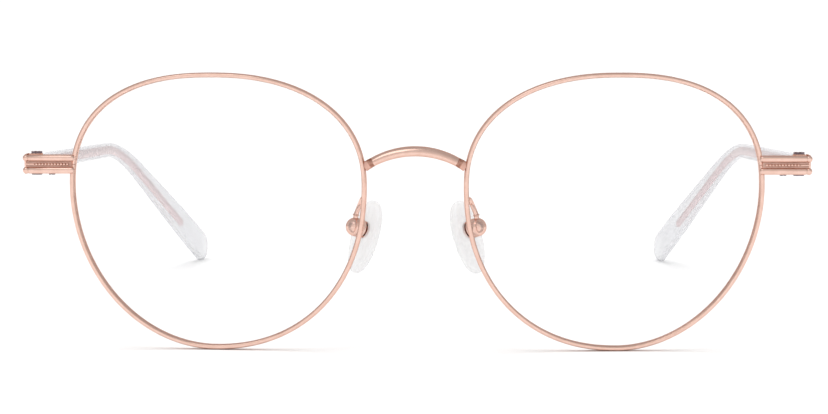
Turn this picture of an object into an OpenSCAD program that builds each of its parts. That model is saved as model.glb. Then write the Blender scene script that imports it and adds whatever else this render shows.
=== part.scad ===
// Round wire eyeglasses: metal front, two sleeved temples on hinges, two rocking nose pads.
// Millimetres. The front faces -Y, +Z is up, the glasses stand on the rims and the temple tips.
// "left" is the -X side and "right" is the +X side, as seen from the front.

/* [Rims] */
// From the outline centre to the temple side of the rim
rim_outer = 25.0; // [21:0.1:29]
// From the outline centre to the nose side of the rim
rim_inner = 26.3; // [22:0.1:30]
// From the outline centre up to the top of the rim
rim_top = 19.2; // [15:0.1:23]
// From the outline centre down to the bottom of the rim
rim_bottom = 28.3; // [24:0.1:32]
// Rim thickness seen from the front
rim_wall = 0.85; // [0.7:0.05:1.2]
// Rim thickness front to back
rim_depth = 1.7; // [1.4:0.1:2.4]
// Distance from the middle of the glasses to each rim's box centre
rim_offset = 34.6; // [32:0.1:38]
// Radius of the curve that the lenses follow
lens_radius = 130; // [90:1:260]
// Lens thickness
lens_thick = 1.4; // [1:0.1:1.6]
// How far each rim turns back towards the temple, degrees
wrap = 3; // [0:0.5:6]
// How far the front leans, top forward, degrees
front_tilt = 1.0; // [0:0.1:6]

/* [End pieces and hinges] */
// Angle round the rim where it is slit and closed by the blocks
slit_angle = 8.25; // [6:0.05:14]
// Height of an end piece
endpiece_height = 3.3; // [2.6:0.1:4]
// Radius of the two rounded rails
rail_radius = 0.52; // [0.4:0.02:0.6]
// How far an end piece reaches past the rim
endpiece_length = 8.2; // [8:0.02:9.6]
// Distance from the rim to the hinge axis, sideways
hinge_out = 6.41; // [6.3:0.01:6.9]
// Distance from the rails to the hinge axis, backwards
hinge_back = 3.0; // [2.8:0.1:3.6]
// Number of beads in the row between the rails
beads = 11; // [8:1:11]
// Spacing of the beads
bead_pitch = 0.54; // [0.5:0.01:0.56]

/* [Temples] */
// Length from the hinge to the bend over the ear
temple_straight = 84.0; // [76:0.1:100]
// How far the temple stands out at the bend
temple_flare = 1.15; // [0.6:0.05:4]
// How far behind the bend the tip ends
drop_back = 60.0; // [40:0.1:64]
// How far below the bend the tip ends
drop_down = 27.95; // [20:0.01:34]
// How far inwards the tip ends
drop_in = 10.6; // [8:0.1:16]
// Downward slope of the temple behind the hinge, degrees
temple_slope = 1.05; // [0:0.05:4]
// Height of the sleeve behind the hinge
sleeve_height = 3.05; // [2.8:0.05:4]
// Height of the sleeve at the tip
tip_height = 7.2; // [5:0.1:8]
// Thickness of the sleeve
sleeve_thick = 2.6; // [2.4:0.1:3]

/* [Bridge and nose pads] */
// Height of the middle of the bridge above the rim box centre
bridge_rise = 10.6; // [9:0.05:12]
// Radius of the bridge arch
bridge_radius = 15.3; // [13:0.1:20]
// Length of a nose pad
pad_length = 13.4; // [11:0.1:15]
// Width of a nose pad
pad_width = 7.4; // [6:0.1:9]
// How far the pads turn open towards the back, degrees
pad_splay = 35; // [25:1:45]
// How far the pads lean in at the top, degrees
pad_lean = 18; // [8:1:25]

/* [Hidden] */
$fn = 48;

gold = [0.86, 0.62, 0.52];
dark = [0.25, 0.23, 0.25];
clear = [0.85, 0.88, 0.90, 0.45];

// Rim outline: four superellipse quarters about a centre that sits above the box centre
outline_x = 0.5;
outline_z = 4.5;
power_top_outer = 2.4;
power_top_inner = 2.25;
power_low_outer = 1.95;
power_low_inner = 2.18;
rim_steps = 96;
slit_half = 0.25;

function outline_power(c, s) =
    s > 0 ? (c > 0 ? power_top_outer : power_top_inner) : (c > 0 ? power_low_outer : power_low_inner);
function outline_radius(c, s, n) =
    pow(pow(abs(c) / (c > 0 ? rim_outer : rim_inner), n) + pow(abs(s) / (s > 0 ? rim_top : rim_bottom), n), -1 / n);
function outline(t, grow) =
    let (r = outline_radius(cos(t), sin(t), outline_power(cos(t), sin(t))) + grow)
    [outline_x + r * cos(t), outline_z + r * sin(t)];

function unit(v) = v / norm(v);
function outline_normal(t) =
    let (d = unit(outline(t + 0.5, 0) - outline(t - 0.5, 0)))
    [d[1], -d[0]];

// Depth of the lens curve at a distance from the lens centre, zero near the rim's top
sag_zero = lens_radius - sqrt(lens_radius * lens_radius - 23.8 * 23.8);
function sag(x, z) = lens_radius - sqrt(lens_radius * lens_radius - x * x - z * z) - sag_zero;

// The rim's section with its lens groove, as shares of the wall and of half the depth
rim_section = [
    [0.24, -1], [-0.29, -1], [-0.5, -0.74], [-0.5, -0.36], [-0.19, 0], [-0.5, 0.36],
    [-0.5, 0.74], [-0.29, 1], [0.24, 1], [0.5, 0.53], [0.5, -0.53]
];
function rim_ring(t) =
    let (p = outline(t, 0), n = outline_normal(t), y = sag(p[0], p[1]))
    [for (q = rim_section) [
        p[0] + n[0] * q[0] * rim_wall,
        y + q[1] * rim_depth / 2,
        p[1] + n[1] * q[0] * rim_wall
    ]];

// Sweeps: the rings are lists of points, and every ring has the same number of points
function side_faces(rings, n, first, flip) = [
    for (j = [0 : rings - 2], i = [0 : n - 1])
    let (a = first + j * n + i, b = first + j * n + (i + 1) % n)
    each (flip ? [[a, a + n, b], [b, a + n, b + n]] : [[a, b, a + n], [b, b + n, a + n]])
];
function ring_face(n, first, flip) = [for (i = [0 : n - 1]) first + (flip ? n - 1 - i : i)];

module sweep(rings) {
    n = len(rings[0]);
    m = len(rings);
    polyhedron(
        points = [for (r = rings) each r],
        faces = concat(
            side_faces(m, n, 0, false),
            [ring_face(n, 0, true)],
            [ring_face(n, (m - 1) * n, false)]
        ),
        convexity = 8
    );
}

// Frames. The front frame has its origin between the rims at their box centre.
rim_centre_height = (rim_bottom - outline_z + rim_wall / 2) * cos(front_tilt) + 0.45 * rim_depth * sin(front_tilt);
depth_shift = -72.09;

function front_to_world(p) = [
    p[0],
    p[1] * cos(front_tilt) - p[2] * sin(front_tilt) + depth_shift,
    p[1] * sin(front_tilt) + p[2] * cos(front_tilt) + rim_centre_height
];
function lens_to_front(p) = [
    rim_offset + p[0] * cos(wrap) - p[1] * sin(wrap),
    p[0] * sin(wrap) + p[1] * cos(wrap),
    p[2]
];

module front_frame() {
    translate([0, depth_shift, rim_centre_height]) rotate([front_tilt, 0, 0]) children();
}

module lens_frame() {
    front_frame() translate([rim_offset, 0, 0]) rotate([0, 0, wrap]) children();
}

slit_point = outline(slit_angle, rim_wall / 2);
slit_front = lens_to_front([slit_point[0], sag(slit_point[0], slit_point[1]), slit_point[1]]);
corner_origin = [slit_front[0], slit_front[1] - rim_depth / 2 - rail_radius, slit_front[2]];

module corner_frame() {
    front_frame() translate(corner_origin) children();
}

hinge_point = front_to_world(corner_origin + [hinge_out, hinge_back, 0]);

module temple_frame() {
    translate(hinge_point) rotate([-temple_slope, 0, 0]) children();
}

pad_origin = [9.45, 5.9, -3.7];

module pad_frame() {
    front_frame() translate(pad_origin) rotate([0, 0, -pad_splay]) rotate([0, -pad_lean, 0]) children();
}

module mirrored() {
    mirror([1, 0, 0]) children();
}

// Rims and lenses
module rim() {
    span = 360 - 2 * slit_half;
    rings = [for (k = [0 : rim_steps]) rim_ring(slit_angle + slit_half + span * k / rim_steps)];
    color(gold) lens_frame() sweep(rings);
}

module lens_layer(grow, outer_r, inner_r) {
    difference() {
        intersection() {
            rotate([90, 0, 0]) linear_extrude(height = 16, center = true)
                polygon([for (k = [0 : 119]) outline(3 * k, grow)]);
            translate([0, lens_radius - sag_zero, 0]) rotate([90, 0, 0]) sphere(r = outer_r, $fn = 240);
        }
        translate([0, lens_radius - sag_zero, 0]) rotate([90, 0, 0]) sphere(r = inner_r, $fn = 240);
    }
}

module lens() {
    color(clear) lens_frame() union() {
        lens_layer(-rim_wall / 2 - 0.04, lens_radius + lens_thick / 2, lens_radius - lens_thick / 2);
        lens_layer(-rim_wall / 2 + 0.13, lens_radius + 0.09, lens_radius - 0.09);
    }
}

// The outer wall of the rim near the slit, as a cylinder, used to trim what is soldered to it
trim_a = outline(slit_angle - 4, rim_wall / 2);
trim_b = outline(slit_angle, rim_wall / 2);
trim_c = outline(slit_angle + 4, rim_wall / 2);
trim_d = 2 * (trim_a[0] * (trim_b[1] - trim_c[1]) + trim_b[0] * (trim_c[1] - trim_a[1])
    + trim_c[0] * (trim_a[1] - trim_b[1]));
trim_centre = [
    (pow(norm(trim_a), 2) * (trim_b[1] - trim_c[1]) + pow(norm(trim_b), 2) * (trim_c[1] - trim_a[1])
        + pow(norm(trim_c), 2) * (trim_a[1] - trim_b[1])) / trim_d,
    (pow(norm(trim_a), 2) * (trim_c[0] - trim_b[0]) + pow(norm(trim_b), 2) * (trim_a[0] - trim_c[0])
        + pow(norm(trim_c), 2) * (trim_b[0] - trim_a[0])) / trim_d
];
trim_radius = norm(trim_b - trim_centre);

module rim_trim() {
    lens_frame() translate([trim_centre[0], 0, trim_centre[1]]) rotate([90, 0, 0])
        cylinder(r = trim_radius + 0.01, h = 12, center = true, $fn = 240);
}

// End piece: two rails, a sunk web with a bead row, and a return leg beside the hinge
rail_z = endpiece_height / 2 - rail_radius;
rail_start = -0.35;
rail_end = endpiece_length - rail_radius;
bead_start = 0.4;
rib_start = bead_start + beads * bead_pitch;

module rail(z) {
    translate([rail_start, 0, z]) rotate([0, 90, 0]) cylinder(r = rail_radius, h = rail_end - rail_start);
    translate([rail_start, 0, z]) sphere(r = rail_radius);
    translate([rail_end, 0, z]) sphere(r = rail_radius);
}

module endpiece() {
    color(gold) corner_frame() union() {
        rail(rail_z);
        rail(-rail_z);
        translate([rail_start, -0.1, -rail_z]) cube([rail_end - rail_start, 0.1 + rail_radius, 2 * rail_z]);
        translate([rail_end - 0.1, -0.06, -rail_z]) cube([0.32, 0.06 + rail_radius, 2 * rail_z]);
        for (k = [0 : beads - 1])
            translate([bead_start + k * bead_pitch, -0.12, 0]) sphere(r = 0.25, $fn = 24);
        translate([rib_start - 0.2, -0.12, 0]) rotate([0, 90, 0])
            cylinder(r = 0.14, h = rail_end - rib_start + 0.2, $fn = 24);
        translate([endpiece_length - 0.62, 0.12, -endpiece_height / 2 - 0.1])
            cube([0.4, hinge_back - 0.02, endpiece_height + 0.2]);
    }
}

// Closing blocks: the two halves that close the slit, with a screw from below
block_length = 5.2;
block_back = 2.1;
closing_x = 3.4;
closing_y = 1.3;

module closing_block(sign) {
    color(gold) difference() {
        corner_frame() difference() {
            translate([-1.2, rail_radius, sign > 0 ? 0.1 : -1.55])
                cube([block_length + 1.2, block_back - rail_radius, 1.45]);
            translate([closing_x, closing_y, 0]) cylinder(r = 0.36, h = 5, center = true, $fn = 32);
        }
        rim_trim();
    }
}

module closing_screw() {
    color(dark) corner_frame() translate([closing_x, closing_y, 0]) difference() {
        union() {
            translate([0, 0, -1.56]) cylinder(r = 0.35, h = 3.0, $fn = 32);
            translate([0, 0, -1.91]) cylinder(r = 0.55, h = 0.35, $fn = 32);
        }
        translate([-0.09, -1, -2.0]) cube([0.18, 2, 0.24]);
    }
}

// Hinge: two outer knuckles on the front, one middle knuckle on the temple
knuckle_half = 1.7;
middle_half = 0.58;

module hinge_front() {
    color(gold) difference() {
        temple_frame() difference() {
            union() {
                translate([0, 0, -knuckle_half]) cylinder(r = 1.05, h = 2 * knuckle_half);
                translate([-1.05, -hinge_back, -knuckle_half]) cube([1.8, hinge_back, 2 * knuckle_half]);
            }
            translate([-2, -1.2, -middle_half - 0.06]) cube([4, 3, 2 * middle_half + 0.12]);
            cylinder(r = 0.53, h = 6, center = true, $fn = 32);
        }
        corner_frame() translate([0, rail_radius - 6, -3]) cube([9, 6, 6]);
    }
}

module hinge_temple() {
    color(gold) temple_frame() difference() {
        union() {
            translate([0, 0, -middle_half]) cylinder(r = 1.0, h = 2 * middle_half);
            translate([0.05, 0.4, -middle_half]) cube([1.5, 1.0, 2 * middle_half]);
            difference() {
                translate([0.05, 0.5, -1.4]) cube([1.55, 1.5, 2.8]);
                cylinder(r = 1.2, h = 6, center = true);
            }
        }
        cylinder(r = 0.55, h = 6, center = true, $fn = 32);
    }
}

module hinge_screw() {
    color(dark) temple_frame() difference() {
        union() {
            translate([0, 0, -1.9]) cylinder(r = 0.5, h = 3.75, $fn = 32);
            translate([0, 0, knuckle_half + 0.01]) cylinder(r = 0.95, h = 0.37, $fn = 40);
            translate([0, 0, -knuckle_half - 0.36]) cylinder(r = 0.9, h = 0.35, $fn = 40);
        }
        translate([-0.12, -2, knuckle_half + 0.2]) cube([0.24, 4, 1]);
    }
}

// Temples: the path runs from the hinge leaf back to the bend and down to the tip
sleeve_side = 0.85;
path_a = [sleeve_side, 2.05, 0];
path_v = [temple_flare, temple_straight, 0];
path_t = [temple_flare - drop_in, temple_straight + drop_back, -drop_down];
bend_reach = 14;
run_a = norm(path_v - path_a) - bend_reach;
run_b = run_a + 2 * bend_reach;
run_end = run_b + norm(path_t - path_v) - bend_reach;
core_end = run_b + 32.5;
core_side = 0.55;
core_up = 0.88;

function bezier(a, b, c, t) = a * (1 - t) * (1 - t) + b * 2 * t * (1 - t) + c * t * t;
function temple_path(s) =
    let (d = unit(path_v - path_a), e = unit(path_t - path_v))
    s < run_a ? path_a + d * s
    : s < run_b ? bezier(path_v - d * bend_reach, path_v, path_v + e * bend_reach, (s - run_a) / (2 * bend_reach))
    : path_v + e * (bend_reach + s - run_b);
function temple_ring(s, half_w, half_h, power, count) =
    let (
        d = unit(temple_path(s + 0.1) - temple_path(s - 0.1)),
        across = unit(cross(d, [0, 0, 1])),
        up = cross(across, d),
        p = temple_path(s)
    )
    [for (i = [0 : count - 1])
        let (c = cos(360 * (i + 0.5) / count), w = sin(360 * (i + 0.5) / count))
        p + across * half_w * sign(c) * pow(abs(c), 2 / power) + up * half_h * sign(w) * pow(abs(w), 2 / power)];
function smooth_step(t) = let (k = min(1, max(0, t))) k * k * (3 - 2 * k);
function sleeve_half(s) =
    (sleeve_height + (tip_height - sleeve_height) * smooth_step((s - run_a - 8) / sleeve_growth)) / 2;

sleeve_growth = 66;
tip_round = 4.2;
sleeve_stops = concat(
    [0, 0.5, 30, 60],
    [for (k = [0 : 8]) run_a + 2 * bend_reach * k / 8],
    [for (k = [1 : 5]) run_b + (run_end - tip_round - run_b) * k / 5]
);
tip_turns = [20, 38, 54, 68, 80, 87];
core_stops = concat(
    [0, 30, 60],
    [for (k = [0 : 8]) run_a + 2 * bend_reach * k / 8],
    [run_b + 11, run_b + 22]
);
core_turns = [0, 30, 60, 84];
ring_count = 14;

function core_rings(grow) = concat(
    [for (s = core_stops) temple_ring(s, core_side + grow, core_up + grow, 2, ring_count)],
    [for (t = core_turns)
        temple_ring(
            core_end + (0.8 + grow) * sin(t),
            (core_side + grow) * cos(t), (core_up + grow) * cos(t), 2, ring_count
        )]
);
sleeve_rings = concat(
    [for (s = sleeve_stops)
        temple_ring(s, s == 0 ? sleeve_thick / 2 - 0.2 : sleeve_thick / 2, s == 0 ? sleeve_half(s) - 0.2 : sleeve_half(s),
            2.6, ring_count)],
    [for (t = tip_turns)
        temple_ring(run_end - tip_round + tip_round * sin(t), sleeve_thick / 2 * sqrt(cos(t)),
            sleeve_half(run_end - tip_round) * cos(t), 2.6, ring_count)]
);

module temple_core() {
    color(gold) temple_frame() sweep(core_rings(0));
}

module temple_sleeve() {
    inner = core_rings(0.03);
    n = ring_count;
    m = len(sleeve_rings);
    k = len(inner);
    first = m * n;
    color(clear) temple_frame() polyhedron(
        points = concat([for (r = sleeve_rings) each r], [for (r = inner) each r]),
        faces = concat(
            side_faces(m, n, 0, false),
            [ring_face(n, (m - 1) * n, false)],
            side_faces(k, n, first, true),
            [ring_face(n, first + (k - 1) * n, true)],
            [for (i = [0 : n - 1]) each [
                [i, first + i, (i + 1) % n],
                [(i + 1) % n, first + i, first + (i + 1) % n]
            ]]
        ),
        convexity = 8
    );
}

// Bridge: a set-back bar on an arch, with a raised middle that ends in slanted steps
bridge_end = 8.78;
bridge_step = 7.3;
step_run = 0.75;
bridge_stops = concat(
    [-bridge_end, -bridge_step - step_run],
    [for (k = [0 : 16]) -bridge_step + 2 * bridge_step * k / 16],
    [bridge_step + step_run, bridge_end]
);
function bridge_ring(x) =
    let (
        raised = abs(x) <= bridge_step,
        a = asin(x / bridge_radius),
        half = raised ? 0.88 - 0.1 * pow(x / bridge_step, 2) : 0.82,
        front = raised ? -2.25 : -1.45,
        edge = raised ? -1.45 : -1.2,
        p = [x, 0, bridge_rise - bridge_radius * (1 - cos(a))],
        n = [sin(a), 0, cos(a)]
    )
    [for (q = [[-1, -0.55], [-1, edge], [-0.72, edge * 0.35 + front * 0.65], [-0.25, front],
            [0.25, front], [0.72, edge * 0.35 + front * 0.65], [1, edge], [1, -0.55],
            [0.7, -0.25], [0.4, -0.25], [-0.4, -0.25], [-0.7, -0.25]])
        p + n * q[0] * half + [0, q[1], 0]];

module bridge() {
    color(gold) front_frame() sweep([for (x = bridge_stops) bridge_ring(x)]);
}

// Nose pads: arm, round box, screw, insert and clear pad
box_radius = 1.65;
pivot_x = 1.35;
arm_points = [
    [9.27, -1.4, 1.75], [9.32, -0.15, 1.8], [9.37, 2.2, 1.95], [9.65, 3.95, 1.35], [10.15, 4.7, 0.15],
    [10.6, 4.87, -1.0], [10.75, 4.91, -1.8]
];
arm_radius = 0.42;
function curve(a, b, c, d, t) =
    0.5 * (2 * b + (c - a) * t + (2 * a - 5 * b + 4 * c - d) * t * t + (3 * b - a - 3 * c + d) * t * t * t);
arm_path = [for (j = [1 : 4], k = [0 : 4])
    curve(arm_points[j - 1], arm_points[j], arm_points[j + 1], arm_points[j + 2], k / 5)];
arm_tip = arm_points[5];
function arm_ring(k) =
    let (
        last = len(arm_path) - 1,
        d = unit(arm_path[min(last, k + 1)] - arm_path[max(0, k - 1)]),
        across = unit(cross(d, [1, 0, 0])),
        up = cross(across, d)
    )
    [for (i = [0 : 9]) arm_path[k] + arm_radius * (across * cos(36 * i) + up * sin(36 * i))];

module pad_arm() {
    d = unit(arm_points[6] - arm_points[5]);
    color(gold) front_frame() union() {
        sweep([for (k = [0 : len(arm_path) - 1]) arm_ring(k)]);
        translate(arm_path[len(arm_path) - 1] - d * 0.1) rotate([0, acos(d[2]), atan2(d[1], d[0])]) union() {
            cylinder(r = 0.6, h = 0.4, $fn = 32);
            cylinder(r = 0.42, h = 0.9, $fn = 32);
        }
    }
}

module pad_box() {
    color(gold) pad_frame() difference() {
        union() {
            translate([0.4, 0, 0]) rotate([0, 90, 0]) cylinder(r = box_radius, h = 1.3);
            translate([1.7, 0, 0]) rotate([0, 90, 0]) rotate_extrude() intersection() {
                circle(r = box_radius);
                square([box_radius + 1, box_radius + 1]);
            }
        }
        translate([0.2, -0.6, -1.12]) cube([2.2, 1.2, 2.24]);
        translate([pivot_x, 0, 0]) rotate([90, 0, 0]) cylinder(r = 0.29, h = 6, center = true, $fn = 24);
        translate([pivot_x, -1.38, 0]) rotate([90, 0, 0]) cylinder(r = 0.55, h = 1, $fn = 32);
    }
}

module pad_screw() {
    color(gold) pad_frame() translate([pivot_x, 0, 0]) rotate([90, 0, 0]) difference() {
        union() {
            translate([0, 0, -1.55]) cylinder(r = 0.28, h = 3.0, $fn = 24);
            translate([0, 0, 1.39]) cylinder(r = 0.5, h = 0.36, $fn = 32);
        }
        translate([-0.08, -1, 1.6]) cube([0.16, 2, 1]);
    }
}

module pad_insert() {
    color(gold) pad_frame() difference() {
        union() {
            translate([-0.45, 0, 0]) rotate([0, 90, 0]) cylinder(r = 1.5, h = 0.45);
            translate([-0.1, -0.5, -0.72]) cube([pivot_x + 0.1, 1.0, 1.44]);
            translate([pivot_x, 0, 0]) rotate([90, 0, 0]) cylinder(r = 0.72, h = 1.0, center = true, $fn = 32);
        }
        translate([pivot_x, 0, 0]) rotate([90, 0, 0]) cylinder(r = 0.33, h = 6, center = true, $fn = 24);
    }
}

// Pad layers: share of the full outline, and depth towards the nose
pad_layers = [[0.84, 0], [0.95, 0.2], [1, 0.75], [0.96, 1.35], [0.8, 1.85], [0.5, 2.15]];
pad_drop = -1.2;
function pad_ring(layer) = [for (i = [0 : 27])
    let (c = cos(360 * i / 28), s = sin(360 * i / 28))
    [
        -layer[1],
        layer[0] * pad_width / 2 * sign(c) * pow(abs(c), 0.9) * (1 + 0.08 * s),
        pad_drop + layer[0] * pad_length / 2 * sign(s) * pow(abs(s), 0.95)
    ]];

module nose_pad() {
    color(clear) pad_frame() difference() {
        sweep([for (l = pad_layers) pad_ring(l)]);
        translate([-0.46, 0, 0]) rotate([0, 90, 0]) cylinder(r = 1.51, h = 2);
    }
}

module rim_left() { mirrored() rim(); }
module rim_right() { rim(); }
module lens_left() { mirrored() lens(); }
module lens_right() { lens(); }
module endpiece_left() { mirrored() endpiece(); }
module endpiece_right() { endpiece(); }
module closing_block_upper_left() { mirrored() closing_block(1); }
module closing_block_upper_right() { closing_block(1); }
module closing_block_lower_left() { mirrored() closing_block(-1); }
module closing_block_lower_right() { closing_block(-1); }
module closing_screw_left() { mirrored() closing_screw(); }
module closing_screw_right() { closing_screw(); }
module hinge_front_left() { mirrored() hinge_front(); }
module hinge_front_right() { hinge_front(); }
module hinge_temple_left() { mirrored() hinge_temple(); }
module hinge_temple_right() { hinge_temple(); }
module hinge_screw_left() { mirrored() hinge_screw(); }
module hinge_screw_right() { hinge_screw(); }
module temple_core_left() { mirrored() temple_core(); }
module temple_core_right() { temple_core(); }
module temple_sleeve_left() { mirrored() temple_sleeve(); }
module temple_sleeve_right() { temple_sleeve(); }
module pad_arm_left() { mirrored() pad_arm(); }
module pad_arm_right() { pad_arm(); }
module pad_box_left() { mirrored() pad_box(); }
module pad_box_right() { pad_box(); }
module pad_screw_left() { mirrored() pad_screw(); }
module pad_screw_right() { pad_screw(); }
module pad_insert_left() { mirrored() pad_insert(); }
module pad_insert_right() { pad_insert(); }
module nose_pad_left() { mirrored() nose_pad(); }
module nose_pad_right() { nose_pad(); }

rim_left();
rim_right();
lens_left();
lens_right();
bridge();
endpiece_left();
endpiece_right();
closing_block_upper_left();
closing_block_upper_right();
closing_block_lower_left();
closing_block_lower_right();
closing_screw_left();
closing_screw_right();
hinge_front_left();
hinge_front_right();
hinge_temple_left();
hinge_temple_right();
hinge_screw_left();
hinge_screw_right();
temple_core_left();
temple_core_right();
temple_sleeve_left();
temple_sleeve_right();
pad_arm_left();
pad_arm_right();
pad_box_left();
pad_box_right();
pad_screw_left();
pad_screw_right();
pad_insert_left();
pad_insert_right();
nose_pad_left();
nose_pad_right();
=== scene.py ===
"""Round wire eyeglasses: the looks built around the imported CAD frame.

Shapes are written in millimetres on the +X side and mirrored for the -X side.
"""

import math

import bmesh
import bpy
import numpy as np
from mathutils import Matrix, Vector


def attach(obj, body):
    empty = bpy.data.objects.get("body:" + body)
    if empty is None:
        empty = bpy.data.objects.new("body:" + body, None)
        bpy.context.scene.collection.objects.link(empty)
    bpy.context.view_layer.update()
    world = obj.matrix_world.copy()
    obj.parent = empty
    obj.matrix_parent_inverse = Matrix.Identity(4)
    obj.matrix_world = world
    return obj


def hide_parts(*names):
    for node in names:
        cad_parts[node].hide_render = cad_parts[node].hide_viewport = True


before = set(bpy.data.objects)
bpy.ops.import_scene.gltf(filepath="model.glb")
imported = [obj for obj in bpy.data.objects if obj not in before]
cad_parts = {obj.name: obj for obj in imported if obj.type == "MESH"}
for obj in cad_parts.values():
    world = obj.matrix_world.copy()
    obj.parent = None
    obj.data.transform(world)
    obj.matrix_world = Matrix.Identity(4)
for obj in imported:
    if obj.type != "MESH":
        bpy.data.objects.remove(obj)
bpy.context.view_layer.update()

MM = 0.001
SIDES = {"right": 1, "left": -1}

# ---------------------------------------------------------------- CAD values, in mm and degrees
RIM_OUTER, RIM_INNER, RIM_TOP, RIM_BOTTOM = 25.0, 26.3, 19.2, 28.3
RIM_WALL, RIM_DEPTH, RIM_OFFSET = 0.85, 1.7, 34.6
LENS_RADIUS, LENS_THICK, WRAP, TILT = 130.0, 1.4, 3.0, 1.0
OUTLINE_X, OUTLINE_Z = 0.5, 4.5
SLIT_ANGLE, SLIT_SHOWN = 8.25, 0.1
ENDPIECE_HEIGHT, RAIL_RADIUS, ENDPIECE_LENGTH = 3.3, 0.52, 8.2
HINGE_OUT, HINGE_BACK = 6.41, 3.0
BEADS, BEAD_PITCH, BEAD_START = 11, 0.54, 0.4
TEMPLE_STRAIGHT, TEMPLE_FLARE, DROP_BACK, DROP_DOWN, DROP_IN = 84.0, 1.15, 60.0, 27.95, 10.6
TEMPLE_SLOPE, SLEEVE_HEIGHT, TIP_HEIGHT, SLEEVE_THICK = 1.05, 3.05, 7.2, 2.6
BEND_REACH, SLEEVE_GROWTH, TIP_ROUND = 14.0, 66.0, 4.2
CORE_SIDE, CORE_UP, CHANNEL_GAP, CORE_PAST_BEND, CORE_NOSE = 0.55, 0.88, 0.03, 32.5, 0.8
BRIDGE_RISE, BRIDGE_RADIUS, BRIDGE_STEP, STEP_RUN = 10.6, 15.3, 7.3, 0.75
PAD_ORIGIN, PAD_SPLAY, PAD_LEAN = (9.45, 5.9, -3.7), 35.0, 18.0
PAD_LENGTH, PAD_WIDTH, PAD_DROP = 13.4, 7.4, -1.2
DEPTH_SHIFT = -72.09
FRONT_HEIGHT = (RIM_BOTTOM - OUTLINE_Z + RIM_WALL / 2) * math.cos(
    math.radians(TILT)
) + 0.45 * RIM_DEPTH * math.sin(math.radians(TILT))
SAG_ZERO = LENS_RADIUS - math.sqrt(LENS_RADIUS**2 - 23.8**2)


# ---------------------------------------------------------------- frames
def turn_x(points, degrees):
    c, s = math.cos(math.radians(degrees)), math.sin(math.radians(degrees))
    return points @ np.array([[1, 0, 0], [0, c, s], [0, -s, c]])


def turn_y(points, degrees):
    c, s = math.cos(math.radians(degrees)), math.sin(math.radians(degrees))
    return points @ np.array([[c, 0, -s], [0, 1, 0], [s, 0, c]])


def turn_z(points, degrees):
    c, s = math.cos(math.radians(degrees)), math.sin(math.radians(degrees))
    return points @ np.array([[c, s, 0], [-s, c, 0], [0, 0, 1]])


def front_to_world(points):
    return turn_x(np.asarray(points, float), TILT) + np.array([0, DEPTH_SHIFT, FRONT_HEIGHT])


def lens_to_world(points):
    return front_to_world(turn_z(np.asarray(points, float), WRAP) + np.array([RIM_OFFSET, 0, 0]))


def sag(x, z):
    return LENS_RADIUS - np.sqrt(LENS_RADIUS**2 - x * x - z * z) - SAG_ZERO


def outline(t, grow=0.0):
    """Rim outline at angle t in degrees, in the lens plane: four superellipse quarters."""
    c, s = math.cos(math.radians(t)), math.sin(math.radians(t))
    if s > 0:
        power = 2.4 if c > 0 else 2.25
    else:
        power = 1.95 if c > 0 else 2.18
    across = RIM_OUTER if c > 0 else RIM_INNER
    up = RIM_TOP if s > 0 else RIM_BOTTOM
    r = ((abs(c) / across) ** power + (abs(s) / up) ** power) ** (-1 / power) + grow
    return np.array([OUTLINE_X + r * c, OUTLINE_Z + r * s])


def outline_normal(t):
    d = outline(t + 0.5) - outline(t - 0.5)
    d /= np.linalg.norm(d)
    return np.array([d[1], -d[0]])


_slit = outline(SLIT_ANGLE, RIM_WALL / 2)
_slit_front = turn_z(np.array([_slit[0], sag(*_slit), _slit[1]]), WRAP) + np.array([RIM_OFFSET, 0, 0])
CORNER = _slit_front - np.array([0, RIM_DEPTH / 2 + RAIL_RADIUS, 0])
HINGE = front_to_world(CORNER + np.array([HINGE_OUT, HINGE_BACK, 0]))


def corner_to_world(points):
    return front_to_world(np.asarray(points, float) + CORNER)


def temple_to_world(points):
    return turn_x(np.asarray(points, float), -TEMPLE_SLOPE) + HINGE


def pad_to_world(points):
    p = turn_z(turn_y(np.asarray(points, float), -PAD_LEAN), -PAD_SPLAY)
    return front_to_world(p + np.array(PAD_ORIGIN))


# ---------------------------------------------------------------- mesh helpers
def unit(v):
    return v / np.linalg.norm(v)


def round_loop(points, passes=2):
    """Corner-cuts a closed loop of points, so that its corners become small curves."""
    p = np.asarray(points, float)
    for _ in range(passes):
        q = np.roll(p, -1, axis=0)
        p = np.stack([0.75 * p + 0.25 * q, 0.25 * p + 0.75 * q], axis=1).reshape(-1, p.shape[1])
    return p


def sweep_faces(rings, count, first=0, flip=False):
    faces = []
    for j in range(rings - 1):
        for i in range(count):
            a, b = first + j * count + i, first + j * count + (i + 1) % count
            quad = (a, b, b + count, a + count)
            faces.append(quad[::-1] if flip else quad)
    return faces


def swept(rings):
    """Points and faces of a closed body through the rings, with its two ends capped."""
    rings = [np.asarray(r, float) for r in rings]
    m, n = len(rings), len(rings[0])
    points = np.concatenate(rings)
    faces = sweep_faces(m, n)
    faces.append(tuple(range(n))[::-1])
    faces.append(tuple(range((m - 1) * n, m * n)))
    return points, faces


def make_piece(name, points, faces, material, sharp=30.0, side=1):
    """A mesh object from points in mm, mirrored for side -1, with outward normals."""
    points = np.asarray(points, float) * MM
    points[:, 0] *= side
    mesh = bpy.data.meshes.new(name)
    mesh.from_pydata([tuple(p) for p in points], [], [tuple(f) for f in faces])
    bm = bmesh.new()
    bm.from_mesh(mesh)
    bmesh.ops.remove_doubles(bm, verts=bm.verts, dist=1e-8)
    bmesh.ops.recalc_face_normals(bm, faces=bm.faces)
    bm.to_mesh(mesh)
    bm.free()
    obj = bpy.data.objects.new(name, mesh)
    bpy.context.scene.collection.objects.link(obj)
    mesh.materials.append(material)
    finish_shading(obj, sharp)
    return obj


def finish_shading(obj, sharp):
    mesh = obj.data
    mesh.polygons.foreach_set("use_smooth", [True] * len(mesh.polygons))
    mesh.set_sharp_from_angle(angle=math.radians(sharp))


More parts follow.
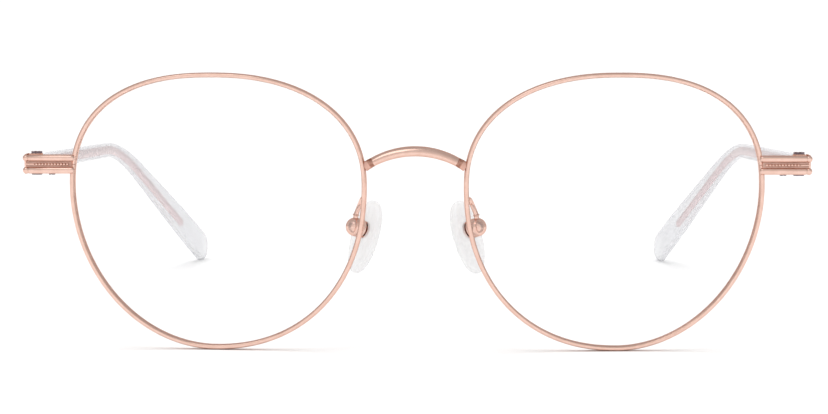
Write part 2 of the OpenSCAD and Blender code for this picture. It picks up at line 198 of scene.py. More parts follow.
def fused(name, parts, material, sharp=35.0, bevel=0.0):
    """One solid from several overlapping closed ones: a boolean union, applied."""
    base = parts[0]
    for other in parts[1:]:
        mod = base.modifiers.new("union", "BOOLEAN")
        mod.operation, mod.solver, mod.object = "UNION", "EXACT", other
    if bevel:
        mod = base.modifiers.new("round", "BEVEL")
        mod.width, mod.segments, mod.limit_method = bevel * MM, 2, "ANGLE"
        mod.angle_limit = math.radians(50)
    bpy.context.view_layer.update()
    deps = bpy.context.evaluated_depsgraph_get()
    mesh = bpy.data.meshes.new_from_object(base.evaluated_get(deps))
    for part in parts:
        bpy.data.objects.remove(part)
    obj = bpy.data.objects.new(name, mesh)
    bpy.context.scene.collection.objects.link(obj)
    mesh.materials.clear()
    mesh.materials.append(material)
    mesh.name = name
    finish_shading(obj, sharp)
    return obj


def place(obj, body, material_slot, *nodes):
    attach(obj, body)
    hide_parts(*nodes)
    return obj


# ---------------------------------------------------------------- materials
def new_material(name):
    material = bpy.data.materials.new(name)
    material.use_nodes = True
    tree = material.node_tree
    tree.nodes.clear()
    out = tree.nodes.new("ShaderNodeOutputMaterial")
    shader = tree.nodes.new("ShaderNodeBsdfPrincipled")
    tree.links.new(shader.outputs["BSDF"], out.inputs["Surface"])
    return material, tree, shader, out


def noise(tree, scale, detail=4.0, stretch=(1, 1, 1), rough=0.5):
    """Noise in object space. scale is features per metre."""
    where = tree.nodes.new("ShaderNodeTexCoord")
    mapping = tree.nodes.new("ShaderNodeMapping")
    mapping.inputs["Scale"].default_value = stretch
    texture = tree.nodes.new("ShaderNodeTexNoise")
    texture.inputs["Scale"].default_value = scale
    texture.inputs["Detail"].default_value = detail
    texture.inputs["Roughness"].default_value = rough
    tree.links.new(where.outputs["Object"], mapping.inputs["Vector"])
    tree.links.new(mapping.outputs["Vector"], texture.inputs["Vector"])
    return texture.outputs["Fac"]


def ramp(tree, source, stops):
    node = tree.nodes.new("ShaderNodeValToRGB")
    elements = node.color_ramp.elements
    elements[0].position, elements[0].color = stops[0][0], (*stops[0][1], 1)
    elements[1].position, elements[1].color = stops[1][0], (*stops[1][1], 1)
    for position, colour in stops[2:]:
        elements.new(position).color = (*colour, 1)
    tree.links.new(source, node.inputs["Fac"])
    return node.outputs["Color"]


def spread(tree, source, low, high, start=0.3, end=0.7):
    node = tree.nodes.new("ShaderNodeMapRange")
    node.inputs["From Min"].default_value = start
    node.inputs["From Max"].default_value = end
    node.inputs["To Min"].default_value = low
    node.inputs["To Max"].default_value = high
    tree.links.new(source, node.inputs["Value"])
    return node.outputs["Result"]


def bump(tree, shader, source, strength, distance):
    node = tree.nodes.new("ShaderNodeBump")
    node.inputs["Strength"].default_value = strength
    node.inputs["Distance"].default_value = distance
    tree.links.new(source, node.inputs["Height"])
    tree.links.new(node.outputs["Normal"], shader.inputs["Normal"])


def edge_mask(tree, low, high):
    """1 on worn convex edges, 0 elsewhere."""
    geometry = tree.nodes.new("ShaderNodeNewGeometry")
    return spread(tree, geometry.outputs["Pointiness"], 0.0, 1.0, low, high)


def mix_colour(tree, factor, a, b):
    node = tree.nodes.new("ShaderNodeMix")
    node.data_type = "RGBA"
    tree.links.new(factor, node.inputs["Factor"])
    for socket, value in ((node.inputs[6], a), (node.inputs[7], b)):
        if isinstance(value, tuple):
            socket.default_value = (*value, 1)
        else:
            tree.links.new(value, socket)
    return node.outputs[2]


def metal(name, dark, light, worn, rough, rough_spread, grain, scratch, edge=(0.68, 0.46, 0.38)):
    material, tree, shader, _ = new_material(name)
    shader.inputs["Specular Tint"].default_value = (*edge, 1)
    cloud = noise(tree, grain, 5.0)
    colour = ramp(tree, cloud, [(0.35, dark), (0.65, light)])
    colour = mix_colour(tree, edge_mask(tree, 0.56, 0.68), colour, worn)
    tree.links.new(colour, shader.inputs["Base Color"])
    shader.inputs["Metallic"].default_value = 1.0
    smudge = noise(tree, grain * 0.35, 3.0, (1, 1, 1), 0.6)
    tree.links.new(
        spread(tree, smudge, rough - rough_spread, rough + rough_spread), shader.inputs["Roughness"]
    )
    fine = noise(tree, grain * 5, 3.0, (1.0, 0.25, 1.0), 0.65)
    bump(tree, shader, fine, scratch, 0.00002)
    return material


GLANCE_BLEND = 0.25  # how fast the veil thickens towards a glancing angle
SHADOW_VEIL = 0.6  # extra density for shadow rays, so the clear pieces cast a soft shadow


def clear_plastic(name, tint_a, tint_b, rough, grain, veil, rim_veil):
    """Pale see-through plastic: a thin veil of its own colour, denser at a glancing angle."""
    material, tree, shader, _ = new_material(name)
    cloud = noise(tree, grain, 3.0)
    tree.links.new(ramp(tree, cloud, [(0.3, tint_a), (0.7, tint_b)]), shader.inputs["Base Color"])
    smudge = noise(tree, grain * 2.2, 3.0)
    tree.links.new(spread(tree, smudge, rough * 0.6, rough * 1.5), shader.inputs["Roughness"])
    facing = tree.nodes.new("ShaderNodeLayerWeight")
    facing.inputs["Blend"].default_value = GLANCE_BLEND
    density = tree.nodes.new("ShaderNodeMath")
    density.operation, density.use_clamp = "MULTIPLY_ADD", True
    density.inputs[1].default_value = rim_veil
    density.inputs[2].default_value = veil
    tree.links.new(facing.outputs["Facing"], density.inputs[0])
    path = tree.nodes.new("ShaderNodeLightPath")
    shadow = tree.nodes.new("ShaderNodeMath")
    shadow.operation, shadow.use_clamp = "MULTIPLY_ADD", True
    shadow.inputs[1].default_value = SHADOW_VEIL
    tree.links.new(path.outputs["Is Shadow Ray"], shadow.inputs[0])
    tree.links.new(density.outputs["Value"], shadow.inputs[2])
    tree.links.new(shadow.outputs["Value"], shader.inputs["Alpha"])
    return material


COATING_IOR, COATING_GAIN, COATING_HAZE = 1.22, 0.8, 0.004


def coated_lens(name):
    """Clear lens: see-through, with a faint mirror that grows at a glancing angle."""
    material, tree, shader, _ = new_material(name)
    cloud = noise(tree, 60, 2.0)
    colour = ramp(tree, cloud, [(0.35, (0.93, 0.97, 1.0)), (0.65, (0.98, 0.98, 1.0))])
    tree.links.new(colour, shader.inputs["Base Color"])
    shader.inputs["Metallic"].default_value = 1.0
    smudge = noise(tree, 140, 4.0)
    tree.links.new(spread(tree, smudge, 0.01, 0.05), shader.inputs["Roughness"])
    glance = tree.nodes.new("ShaderNodeFresnel")
    glance.inputs["IOR"].default_value = COATING_IOR
    faint = tree.nodes.new("ShaderNodeMath")
    faint.operation = "MULTIPLY_ADD"
    faint.inputs[1].default_value = COATING_GAIN
    faint.inputs[2].default_value = COATING_HAZE
    faint.use_clamp = True
    tree.links.new(glance.outputs["Fac"], faint.inputs[0])
    tree.links.new(faint.outputs["Value"], shader.inputs["Alpha"])
    return material


ROSE = metal(
    "rose_gold", (0.80, 0.535, 0.445), (0.85, 0.585, 0.495), (0.92, 0.68, 0.59),
    0.19, 0.05, 700, 0.10
)
# Satin rose gold: rougher as a real finish, and darker in colour as painted shade; on the bridge tabs,
# the hinge and closing blocks and the pad screws.
ROSE_SATIN_SHADED = metal(
    "rose_gold_satin_painted_shade", (0.62, 0.36, 0.285), (0.70, 0.42, 0.34), (0.84, 0.58, 0.48), 0.30, 0.06, 900, 0.2
)
CORE_WIRE = metal(
    "core_wire", (0.97, 0.80, 0.80), (0.99, 0.84, 0.84), (1.0, 0.88, 0.88), 0.5, 0.06, 500, 0.15
)
GUNMETAL = metal(
    "dark_gunmetal", (0.14, 0.11, 0.13), (0.20, 0.165, 0.185), (0.40, 0.34, 0.36), 0.30, 0.08, 900, 0.3
)
ACETATE = clear_plastic(
    "clear_acetate", (0.60, 0.60, 0.635), (0.66, 0.66, 0.69), 0.14, 180, 0.18, 0.60
)
CHANNEL = clear_plastic(
    "clear_channel", (0.75, 0.73, 0.74), (0.78, 0.76, 0.77), 0.3, 180, 0.03, 0.04
)
SILICONE = clear_plastic(
    "clear_silicone", (0.84, 0.84, 0.85), (0.88, 0.88, 0.885), 0.3, 400, 0.32, 0.25
)
LENS = coated_lens("coated_lens")
# Painted shade: a darker, rougher rose gold for the sunk floor of the end pieces, standing in for the
# shade in that recess.
RECESS_PAINTED_SHADE = metal(
    "rose_gold_recess_painted_shade", (0.49, 0.29, 0.235), (0.57, 0.36, 0.295), (0.70, 0.47, 0.39),
    0.42, 0.08, 900, 0.2
)
# Painted shade: a dark rose gold for the slanted steps of the bridge, standing in for the darker
# reflection on those faces.
PAINTED_STEP_SHADE = metal(
    "rose_gold_painted_step_shade", (0.44, 0.24, 0.18), (0.52, 0.29, 0.225), (0.66, 0.42, 0.34), 0.30, 0.06, 900, 0.15
)


# ---------------------------------------------------------------- rims and lenses
RIM_SECTION = [
    (0.24, -1), (-0.29, -1), (-0.5, -0.74), (-0.5, -0.2), (-0.19, 0), (-0.5, 0.2),
    (-0.5, 0.74), (-0.29, 1), (0.24, 1), (0.5, 0.53), (0.5, -0.53),
]
RIM_STATIONS = 420
BEVEL_RUN = 0.7


def rim_mesh():
    section = round_loop(RIM_SECTION, 2) * np.array([RIM_WALL, RIM_DEPTH / 2])
    span = 360 - 2 * SLIT_SHOWN
    rings = []
    for k in range(RIM_STATIONS + 1):
        t = SLIT_ANGLE + SLIT_SHOWN + span * k / RIM_STATIONS
        p, n = outline(t), outline_normal(t)
        y = sag(*p)
        rings.append(
            lens_to_world([[p[0] + n[0] * a, y + b, p[1] + n[1] * a] for a, b in section])
        )
    return swept(rings)


def lens_mesh():
    """A curved shell with a rib round its edge that sits in the rim's groove."""
    around = 240
    face_grow, rib_grow = -RIM_WALL / 2 - 0.04, -RIM_WALL / 2 + 0.13
    shares = [0.12, 0.3, 0.5, 0.7, 0.85, 0.95]
    loops = []  # (share of the outline, growth, distance in front of the middle surface)
    half = LENS_THICK / 2
    loops += [(s, face_grow, half) for s in shares]
    loops += [(1, face_grow - BEVEL_RUN, half), (1, face_grow - BEVEL_RUN * 0.9, half * 0.93)]
    loops += [(1, rib_grow, 0.05), (1, rib_grow, -0.05)]
    loops += [(1, face_grow - BEVEL_RUN * 0.9, -half * 0.93), (1, face_grow - BEVEL_RUN, -half)]
    loops += [(s, face_grow, -half) for s in reversed(shares)]
    centre_x, centre_z = OUTLINE_X, OUTLINE_Z

    def at(x, z, ahead):
        r = LENS_RADIUS + ahead
        return [x, LENS_RADIUS - SAG_ZERO - math.sqrt(r * r - x * x - z * z), z]

    points = []
    for share, grow, ahead in loops:
        for k in range(around):
            p = outline(360 * k / around, grow)
            x = centre_x + (p[0] - centre_x) * share
            z = centre_z + (p[1] - centre_z) * share
            points.append(at(x, z, ahead))
    faces = sweep_faces(len(loops), around)
    first, last = len(points), len(points) + 1
    points += [at(centre_x, centre_z, half), at(centre_x, centre_z, -half)]
    base = (len(loops) - 1) * around
    for k in range(around):
        nxt = (k + 1) % around
        faces.append((first, nxt, k))
        faces.append((last, base + k, base + nxt))
    return lens_to_world(points), faces


rim_points, rim_faces = rim_mesh()
lens_points, lens_faces = lens_mesh()
for side, sign in SIDES.items():
    rim = make_piece(f"rim_wire_{side}", rim_points, rim_faces, ROSE, 40, sign)
    place(rim, "front", "rose_gold", f"rim_{side}")
    lens = make_piece(f"lens_shell_{side}", lens_points, lens_faces, LENS, 30, sign)
    lens.visible_shadow = lens.visible_diffuse = False
    place(lens, "front", "lens_clear", f"lens_{side}")


# ---------------------------------------------------------------- bridge
def bridge_share(x):
    """0 on the raised middle, 1 on the set-back tabs, with softened corners between."""
    total = 0.0
    for k in range(9):
        u = abs(x) + (k - 4) * 0.02
        total += min(1.0, max(0.0, (u - BRIDGE_STEP) / STEP_RUN))
    return total / 9


def bridge_mesh():
    stops = [7.0, 7.15, 7.22, 7.28, 7.34, 7.4, 7.55, 7.7, 7.85, 7.97, 8.03, 8.09, 8.16, 8.3, 8.5, 8.78]
    inner = [7.0 * k / 24 for k in range(24)]
    right = inner + stops
    stations = [-x for x in reversed(right[1:])] + right
    rings = []
    for x in stations:
        s = bridge_share(x)
        a = math.asin(x / BRIDGE_RADIUS)
        half = (0.88 - 0.1 * (min(abs(x), BRIDGE_STEP) / BRIDGE_STEP) ** 2) * (1 - s) + 0.82 * s
        crown = -2.25 * (1 - s) - 1.45 * s
        edge = -1.45 * (1 - s) - 1.2 * s
        middle = edge * 0.35 + crown * 0.65
        p = np.array([x, 0, BRIDGE_RISE - BRIDGE_RADIUS * (1 - math.cos(a))])
        n = np.array([math.sin(a), 0, math.cos(a)])
        section = [
            (-1, -0.55), (-1, edge), (-0.78, middle), (-0.5, crown), (-0.05, crown), (0.6, middle),
            (1, edge), (1, -0.55), (0.7, -0.25), (0.4, -0.25), (-0.4, -0.25), (-0.7, -0.25),
        ]
        loop = round_loop([(q * half, d) for q, d in section], 2)
        rings.append([p + n * q + np.array([0, d, 0]) for q, d in loop])
    points, faces = swept(rings)
    return front_to_world(points), faces


bridge_points, bridge_faces = bridge_mesh()
bridge = make_piece("bridge_bar", bridge_points, bridge_faces, ROSE, 40)
bridge.data.materials.append(PAINTED_STEP_SHADE)
bridge.data.materials.append(ROSE_SATIN_SHADED)
for face in bridge.data.polygons:
    x, z = face.center.x / MM, face.center.z / MM - FRONT_HEIGHT
    along = BRIDGE_RADIUS * math.sin(math.atan2(abs(x), z - BRIDGE_RISE + BRIDGE_RADIUS))
    # The slanted steps get the metal with painted shade.
    if BRIDGE_STEP < along < BRIDGE_STEP + STEP_RUN:
        face.material_index = 1
    # The set-back tabs get the satin metal, whose darker colour is painted shade.
    elif along > BRIDGE_STEP:
        face.material_index = 2
place(bridge, "front", "rose_gold", "bridge")


# ---------------------------------------------------------------- end pieces
RAIL_Z = ENDPIECE_HEIGHT / 2 - RAIL_RADIUS
RAIL_START, RAIL_END = -0.35, ENDPIECE_LENGTH - RAIL_RADIUS
FLOOR_DEPTH, RAIL_TALL = 0.04, 1.12


def rod(profile, count=32, centre=(0, 0), tall=1.0):
    """A turned rod along x. profile is a list of (x, radius). tall stretches it along z."""
    rings = []
    for x, r in profile:
        rings.append(
            [
                [x, centre[0] + r * math.cos(2 * math.pi * i / count),
                 centre[1] + r * tall * math.sin(2 * math.pi * i / count)]
                for i in range(count)
            ]
        )
    return swept(rings)


def rounded_box(low, high, corner, passes=2):
    """A box with rounded edges along x and softened ends."""
    (x0, y0, z0), (x1, y1, z1) = low, high
    rings = []
    for x, inset in ((x0, corner), (x0 + corner * 0.3, corner * 0.3), (x0 + corner, 0),
                     (x1 - corner, 0), (x1 - corner * 0.3, corner * 0.3), (x1, corner)):
        a, b, c, d = y0 + inset, y1 - inset, z0 + inset, z1 - inset
        r = min(corner, (b - a) / 3, (d - c) / 3)
        loop = [
            (a + r, c), (b - r, c), (b, c + r), (b, d - r),
            (b - r, d), (a + r, d), (a, d - r), (a, c + r),
        ]
        rings.append([[x, p, q] for p, q in round_loop(loop, 1)])
    return swept(rings)


def endpiece_parts(side):
    parts = []

    def add(points, faces):
        world = corner_to_world(points)
        parts.append(make_piece("part", world, faces, ROSE, 30, SIDES[side]))

    cap = [(-math.cos(a), math.sin(a)) for a in np.radians([8, 22, 38, 55, 72, 90])]
    rail = [(RAIL_START + c * RAIL_RADIUS, s * RAIL_RADIUS) for c, s in cap]
    neck = RAIL_END - 0.42
    rail += [(neck - 0.18, RAIL_RADIUS), (neck - 0.07, RAIL_RADIUS - 0.06), (neck, RAIL_RADIUS - 0.1)]
    rail += [(neck + 0.07, RAIL_RADIUS - 0.06), (neck + 0.18, RAIL_RADIUS)]
    rail += [(RAIL_END - c * RAIL_RADIUS, s * RAIL_RADIUS) for c, s in reversed(cap)]
    middle = ENDPIECE_HEIGHT / 2 - RAIL_TALL * RAIL_RADIUS
    for z in (middle, -middle):
        add(*rod(rail, 40, (0, z), RAIL_TALL))
    add(*rounded_box((RAIL_START, FLOOR_DEPTH, -RAIL_Z), (RAIL_END, RAIL_RADIUS, RAIL_Z), 0.02))
    add(*rounded_box((RAIL_END - 0.1, -0.06, -RAIL_Z), (RAIL_END + 0.22, RAIL_RADIUS, RAIL_Z), 0.08))
    bead = [(-0.25 * math.cos(a), 0.25 * math.sin(a)) for a in np.radians([6, 25, 45, 65, 90])]
    bead += [(-x, r) for x, r in reversed(bead[:-1])]
    for k in range(BEADS):
        centre = BEAD_START + k * BEAD_PITCH
        points, faces = rod([(centre + x, r) for x, r in bead], 20, (-0.12, 0))
        add(points, faces)
    rib_start = BEAD_START + BEADS * BEAD_PITCH
    add(*rod([(rib_start - 0.24, 0.05), (rib_start - 0.2, 0.14), (RAIL_END, 0.14)], 20, (-0.12, 0)))
    add(
        *rounded_box(
            (ENDPIECE_LENGTH - 0.62, 0.12, -ENDPIECE_HEIGHT / 2 - 0.1),
            (ENDPIECE_LENGTH - 0.22, HINGE_BACK + 0.1, ENDPIECE_HEIGHT / 2 + 0.1),
            0.12,
        )
    )
    return parts


def paint_recess_shade(piece, sign):
    """The sunk floor between the rails gets its own darker rose gold: painted shade for the recess."""
    piece.data.materials.append(RECESS_PAINTED_SHADE)
    origin = corner_to_world([0, 0, 0])
    for face in piece.data.polygons:
        x, y, z = (np.array(face.center) / MM * [sign, 1, 1]) - origin
        sunk = y > FLOOR_DEPTH - 0.07 and face.normal.y < -0.5
        if sunk and abs(z) < RAIL_Z and x < RAIL_END:
            face.material_index = 1


for side, sign in SIDES.items():
    piece = fused(f"endpiece_cast_{side}", endpiece_parts(side), ROSE, 32)
    paint_recess_shade(piece, sign)
    place(piece, "front", "rose_gold", f"endpiece_{side}")


# ---------------------------------------------------------------- temples
PATH_A = np.array([0.85, 2.05, 0.0])
PATH_V = np.array([TEMPLE_FLARE, TEMPLE_STRAIGHT, 0.0])
PATH_T = np.array([TEMPLE_FLARE - DROP_IN, TEMPLE_STRAIGHT + DROP_BACK, -DROP_DOWN])
RUN_A = np.linalg.norm(PATH_V - PATH_A) - BEND_REACH
RUN_B = RUN_A + 2 * BEND_REACH
RUN_END = RUN_B + np.linalg.norm(PATH_T - PATH_V) - BEND_REACH
CORE_END = RUN_B + CORE_PAST_BEND


def temple_path(s):
    d, e = unit(PATH_V - PATH_A), unit(PATH_T - PATH_V)
    if s < RUN_A:
        return PATH_A + d * s
    if s < RUN_B:
        t = (s - RUN_A) / (2 * BEND_REACH)
        a, c = PATH_V - d * BEND_REACH, PATH_V + e * BEND_REACH
        return a * (1 - t) ** 2 + PATH_V * 2 * t * (1 - t) + c * t * t
    return PATH_V + e * (BEND_REACH + s - RUN_B)


def temple_ring(s, half_w, half_h, power, count):
    d = unit(temple_path(s + 0.1) - temple_path(s - 0.1))
    across = unit(np.cross(d, [0, 0, 1]))
    up = np.cross(across, d)
    p = temple_path(s)
    ring = []
    for i in range(count):
        a = 2 * math.pi * (i + 0.5) / count
        c, w = math.cos(a), math.sin(a)
        u = half_w * math.copysign(abs(c) ** (2 / power), c)
        v = half_h * math.copysign(abs(w) ** (2 / power), w)
        ring.append(p + across * u + up * v)
    return ring


def sleeve_half(s):
    k = min(1.0, max(0.0, (s - RUN_A - 8) / SLEEVE_GROWTH))
    return (SLEEVE_HEIGHT + (TIP_HEIGHT - SLEEVE_HEIGHT) * k * k * (3 - 2 * k)) / 2


def core_rings(grow, count):
    stops = list(np.linspace(0, RUN_A, 10)) + list(np.linspace(RUN_A, RUN_B, 17)[1:])
    stops += list(np.linspace(RUN_B, CORE_END, 10)[1:])
    rings = [temple_ring(s, CORE_SIDE + grow, CORE_UP + grow, 2, count) for s in stops]
    for t in np.radians([18, 36, 52, 66, 78, 86]):
        c = math.cos(t)
        rings.append(
            temple_ring(
                CORE_END + (CORE_NOSE + grow) * math.sin(t),
                (CORE_SIDE + grow) * c, (CORE_UP + grow) * c, 2, count,
            )
        )
    return rings


def sleeve_mesh():
    count = 56
    power = 2.6
    rings = []
    for s, inset in ((0.0, 0.2), (0.04, 0.11), (0.12, 0.05), (0.26, 0.012), (0.5, 0.0)):
        rings.append(temple_ring(s, SLEEVE_THICK / 2 - inset, sleeve_half(s) - inset, power, count))
    stops = list(np.linspace(6, RUN_A, 14)) + list(np.linspace(RUN_A, RUN_B, 25)[1:])
    stops += list(np.linspace(RUN_B, RUN_END - TIP_ROUND, 22)[1:])
    rings += [temple_ring(s, SLEEVE_THICK / 2, sleeve_half(s), power, count) for s in stops]
    last = sleeve_half(RUN_END - TIP_ROUND)
    for t in np.radians([8, 16, 24, 32, 40, 48, 56, 63, 70, 76, 81, 85, 88]):
        c = math.cos(t)
        rings.append(
            temple_ring(
                RUN_END - TIP_ROUND + TIP_ROUND * math.sin(t),
                SLEEVE_THICK / 2 * math.sqrt(c), last * c, power, count,
            )
        )
    channel = core_rings(CHANNEL_GAP, count)
    points = np.concatenate([np.array(r) for r in rings + channel])
    m, k = len(rings), len(channel)
    first = m * count
    faces = sweep_faces(m, count) + sweep_faces(k, count, first, True)
    faces.append(tuple(range((m - 1) * count, m * count)))
    faces.append(tuple(range(first + (k - 1) * count, first + k * count))[::-1])
    for i in range(count):
        j = (i + 1) % count
        faces.append((i, first + i, first + j, j))
    inside = range((m - 1) * count, (m + k - 2) * count)
    return temple_to_world(points), faces, inside


core_points, core_faces = swept(core_rings(0.0, 40))
core_points = temple_to_world(core_points)
sleeve_points, sleeve_faces, channel_faces = sleeve_mesh()
for side, sign in SIDES.items():
    core = make_piece(f"core_rod_{side}", core_points, core_faces, CORE_WIRE, 40, sign)
    place(core, f"temple_{side}", "core_wire", f"temple_core_{side}")
    sleeve = make_piece(f"clear_sleeve_{side}", sleeve_points, sleeve_faces, ACETATE, 40, sign)
    sleeve.data.materials.append(CHANNEL)
    for index in channel_faces:
        sleeve.data.polygons[index].material_index = 1
    place(sleeve, f"temple_{side}", "clear_acetate", f"temple_sleeve_{side}")


# ---------------------------------------------------------------- nose pads and their arms
ARM_POINTS = np.array(
    [[9.27, -1.4, 1.75], [9.32, -0.15, 1.8], [9.37, 2.2, 1.95], [9.65, 3.95, 1.35], [10.15, 4.7, 0.15],
     [10.6, 4.87, -1.0], [10.75, 4.91, -1.8]]
)
ARM_RADIUS = 0.42


def catmull(a, b, c, d, t):
    return 0.5 * (
        2 * b + (c - a) * t + (2 * a - 5 * b + 4 * c - d) * t**2 + (3 * b - a - 3 * c + d) * t**3
    )


def arm_mesh():
    """A bent wire, wider where it is soldered to the rim, with a collar above the pad box."""
    path = []
    for j in range(1, 5):
        for k in range(10):
            path.append(catmull(*ARM_POINTS[j - 1 : j + 3], k / 10))
    tip = path[-1]
    d = unit(ARM_POINTS[6] - ARM_POINTS[5])
    radii = [ARM_RADIUS] * len(path)
    for k, grow in enumerate((0.10, 0.07, 0.045, 0.025, 0.01)):
        radii[k] += grow
    for ahead, r in ((0.02, 0.42), (0.05, 0.5), (0.1, 0.57), (0.17, 0.6), (0.24, 0.57), (0.29, 0.5),
                     (0.31, 0.43), (0.5, 0.42), (0.8, 0.42)):
        path.append(tip + d * ahead)
        radii.append(r)
    rings = []
    count = 24
    for k, (p, r) in enumerate(zip(path, radii)):
        along = unit(path[min(len(path) - 1, k + 1)] - path[max(0, k - 1)])
        across = unit(np.cross(along, [1, 0, 0]))
        up = np.cross(across, along)
        rings.append(
            [p + r * (across * math.cos(a) + up * math.sin(a))
             for a in (2 * math.pi * i / count for i in range(count))]
        )
    points, faces = swept(rings)
    return front_to_world(points), faces


def pad_outline(share, inward, i, count):
    a = 2 * math.pi * i / count
    c, s = math.cos(a), math.sin(a)
    y = share * PAD_WIDTH / 2 * math.copysign(abs(c) ** 0.9, c) * (1 + 0.08 * s)
    z = PAD_DROP + share * PAD_LENGTH / 2 * math.copysign(abs(s) ** 0.95, s)
    return [-inward, y, z]


def pad_mesh():
    """A soft drop-shaped pad, domed towards the nose, with a round seat for its metal insert."""
    count = 64
    keys_in = np.array([0.0, 0.06, 0.2, 0.45, 0.75, 1.05, 1.35, 1.62, 1.85, 2.02, 2.12, 2.15])
    keys_share = np.array([0.84, 0.905, 0.95, 0.985, 1.0, 0.99, 0.96, 0.895, 0.8, 0.65, 0.45, 0.22])
    loops = [[pad_outline(s, d, i, count) for i in range(count)] for d, s in zip(keys_in, keys_share)]

    def circle(r, depth):
        ring = []
        for i in range(count):
            a = 2 * math.pi * i / count
            ring.append([-depth, r * math.cos(a), r * math.sin(a)])
        return ring

    seat = [circle(1.44, 0.46), circle(1.51, 0.42), circle(1.51, 0.06), circle(1.57, 0.0)]
    rings = seat + loops
    points, faces = swept([np.array(r) for r in rings])
    return pad_to_world(points), faces


arm_points, arm_faces = arm_mesh()
pad_points, pad_faces = pad_mesh()
for side, sign in SIDES.items():
    arm = make_piece(f"pad_wire_{side}", arm_points, arm_faces, ROSE, 50, sign)
    place(arm, "front", "rose_gold", f"pad_arm_{side}")
    pad = make_piece(f"soft_pad_{side}", pad_points, pad_faces, SILICONE, 40, sign)
    place(pad, f"pad_{side}", "pad_silicone", f"nose_pad_{side}")


# ---------------------------------------------------------------- CAD pieces kept as they are
BEVEL_CORNER = 40  # degrees; edges sharper than this are softened


def dress(node, material, bevel):
    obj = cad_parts[node]
    obj.data.materials.clear()
    obj.data.materials.append(material)
    if bevel:
        mod = obj.modifiers.new("edge", "BEVEL")
        mod.width, mod.segments, mod.limit_method = bevel * MM, 2, "ANGLE"
        mod.angle_limit = math.radians(BEVEL_CORNER)
        mod.harden_normals = True


# The hinge and closing blocks and the pad screws take the satin metal, whose darker colour is painted
# shade.
for side in SIDES:
    for node in ("closing_block_upper", "closing_block_lower", "hinge_front", "hinge_temple"):
        dress(f"{node}_{side}", ROSE_SATIN_SHADED, 0.07)
    for node in ("pad_box", "pad_insert"):
        dress(f"{node}_{side}", ROSE, 0.05)
    dress(f"pad_screw_{side}", ROSE_SATIN_SHADED, 0.03)
    for node in ("closing_screw", "hinge_screw"):
        dress(f"{node}_{side}", GUNMETAL, 0.04)


# ---------------------------------------------------------------- floor, light and camera
FLOOR_HALF_M = 6.0
FLOOR_GREYS = (0.895, 0.905)
KEY_PLACE, KEY_AIM, KEY_SIZE, KEY_POWER = (-0.25, -0.45, 0.75), (0, -0.03, 0.02), (0.5, 0.4), 0.7
SUN_POWER, SUN_SOFTNESS, SUN_TILT = 1.3, 50, (-4, -3)
WORLD_SIDES, WORLD_UP, WORLD_FRONT, WORLD_BACK = 0.72, 0.56, 1.08, 0.97  # what mirrors see
WORLD_WHITE, WORLD_FILL = 1.05, 0.78  # what the camera and the matt surfaces see
CAMERA_PLACE, CAMERA_DOWN, CAMERA_TURN, CAMERA_LENS = (0.008175, -0.39339, 0.05111), 4.63, 1.5, 80.83


def make_floor():
    size = FLOOR_HALF_M
    mesh = bpy.data.meshes.new("floor")
    corners = [(-size, -size, 0), (size, -size, 0), (size, size, 0), (-size, size, 0)]
    mesh.from_pydata(corners, [], [(0, 1, 2, 3)])
    floor = bpy.data.objects.new("floor", mesh)
    bpy.context.scene.collection.objects.link(floor)
    material, tree, shader, _ = new_material("pale_floor")
    low, high = FLOOR_GREYS
    shade = ramp(tree, noise(tree, 6, 3.0), [(0.3, (low, low, low)), (0.7, (high, high, high))])
    tree.links.new(shade, shader.inputs["Base Color"])
    shader.inputs["Roughness"].default_value = 0.9
    shader.inputs["Specular IOR Level"].default_value = 0.0
    mesh.materials.append(material)


def area_light(name, place_m, aim_m, size, power):
    data = bpy.data.lights.new(name, "AREA")
    data.shape, data.size, data.size_y = "RECTANGLE", size[0], size[1]
    data.energy = power
    light = bpy.data.objects.new(name, data)
    light.location = place_m
    direction = np.array(aim_m, float) - np.array(place_m, float)
    light.rotation_euler = Vector(direction).to_track_quat("-Z", "Y").to_euler()
    bpy.context.scene.collection.objects.link(light)


def soft_sun():
    data = bpy.data.lights.new("soft_sun", "SUN")
    data.energy, data.angle = SUN_POWER, math.radians(SUN_SOFTNESS)
    sun = bpy.data.objects.new("soft_sun", data)
    sun.rotation_euler = (math.radians(SUN_TILT[0]), math.radians(SUN_TILT[1]), 0)
    sun.visible_glossy = False
    bpy.context.scene.collection.objects.link(sun)


def make_camera():
    data = bpy.data.cameras.new("camera")
    data.lens, data.sensor_width, data.sensor_fit = CAMERA_LENS, 36.0, "HORIZONTAL"
    data.clip_start, data.clip_end = 0.01, 20.0
    camera = bpy.data.objects.new("camera", data)
    camera.location = CAMERA_PLACE
    camera.rotation_euler = (math.radians(90 - CAMERA_DOWN), 0, math.radians(CAMERA_TURN))
    bpy.context.scene.collection.objects.link(camera)
    bpy.context.scene.camera = camera


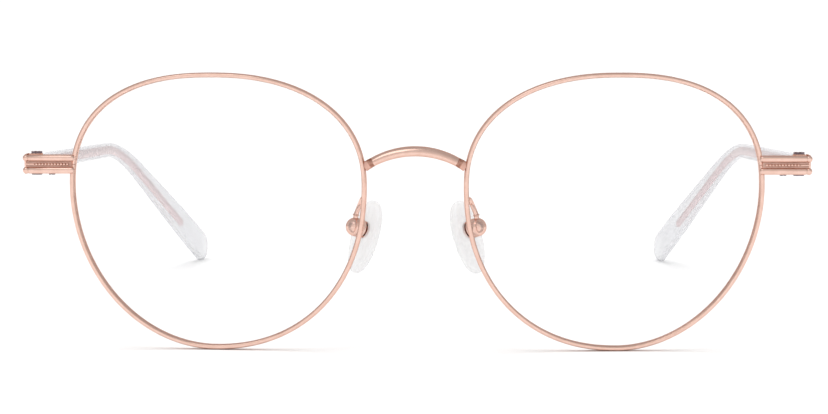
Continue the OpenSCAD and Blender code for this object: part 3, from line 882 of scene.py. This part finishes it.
def node_math(tree, operation, *values, clamp=False):
    node = tree.nodes.new("ShaderNodeMath")
    node.operation, node.use_clamp = operation, clamp
    for value, socket in zip(values, node.inputs):
        tree.links.new(value, socket)
    return node.outputs["Value"]


def make_world():
    world = bpy.data.worlds.new("studio")
    world.use_nodes = True
    tree = world.node_tree
    tree.nodes.clear()
    out = tree.nodes.new("ShaderNodeOutputWorld")
    back = tree.nodes.new("ShaderNodeBackground")
    where = tree.nodes.new("ShaderNodeTexCoord")
    split = tree.nodes.new("ShaderNodeSeparateXYZ")
    tree.links.new(where.outputs["Generated"], split.inputs["Vector"])
    side = node_math(tree, "ABSOLUTE", split.outputs["X"])
    across = spread(tree, side, 1.0, WORLD_SIDES, 0.35, 0.95)
    along = spread(tree, split.outputs["Y"], WORLD_FRONT, WORLD_BACK, -1.0, 0.3)
    above = spread(tree, split.outputs["Z"], 1.0, WORLD_UP, 0.1, 0.85)
    level = node_math(tree, "MULTIPLY", node_math(tree, "MULTIPLY", across, along), above)
    tree.links.new(level, back.inputs["Strength"])
    back.inputs["Color"].default_value = (1, 1, 1, 1)
    white = tree.nodes.new("ShaderNodeBackground")
    white.inputs["Color"].default_value = (1, 1, 1, 1)
    path = tree.nodes.new("ShaderNodeLightPath")
    fill = spread(tree, path.outputs["Is Diffuse Ray"], WORLD_WHITE, WORLD_FILL, 0.0, 1.0)
    tree.links.new(fill, white.inputs["Strength"])
    mixed = tree.nodes.new("ShaderNodeMixShader")
    rays = path.outputs["Is Glossy Ray"], path.outputs["Is Transmission Ray"]
    tree.links.new(node_math(tree, "SUBTRACT", *rays, clamp=True), mixed.inputs["Fac"])
    tree.links.new(white.outputs["Background"], mixed.inputs[1])
    tree.links.new(back.outputs["Background"], mixed.inputs[2])
    tree.links.new(mixed.outputs["Shader"], out.inputs["Surface"])
    bpy.context.scene.world = world


make_floor()
make_world()
area_light("key_light", KEY_PLACE, KEY_AIM, KEY_SIZE, KEY_POWER)
soft_sun()
make_camera()

scene = bpy.context.scene
scene.view_settings.view_transform = "Standard"
scene.cycles.max_bounces = 16
scene.cycles.transmission_bounces = 12
scene.cycles.transparent_max_bounces = 16
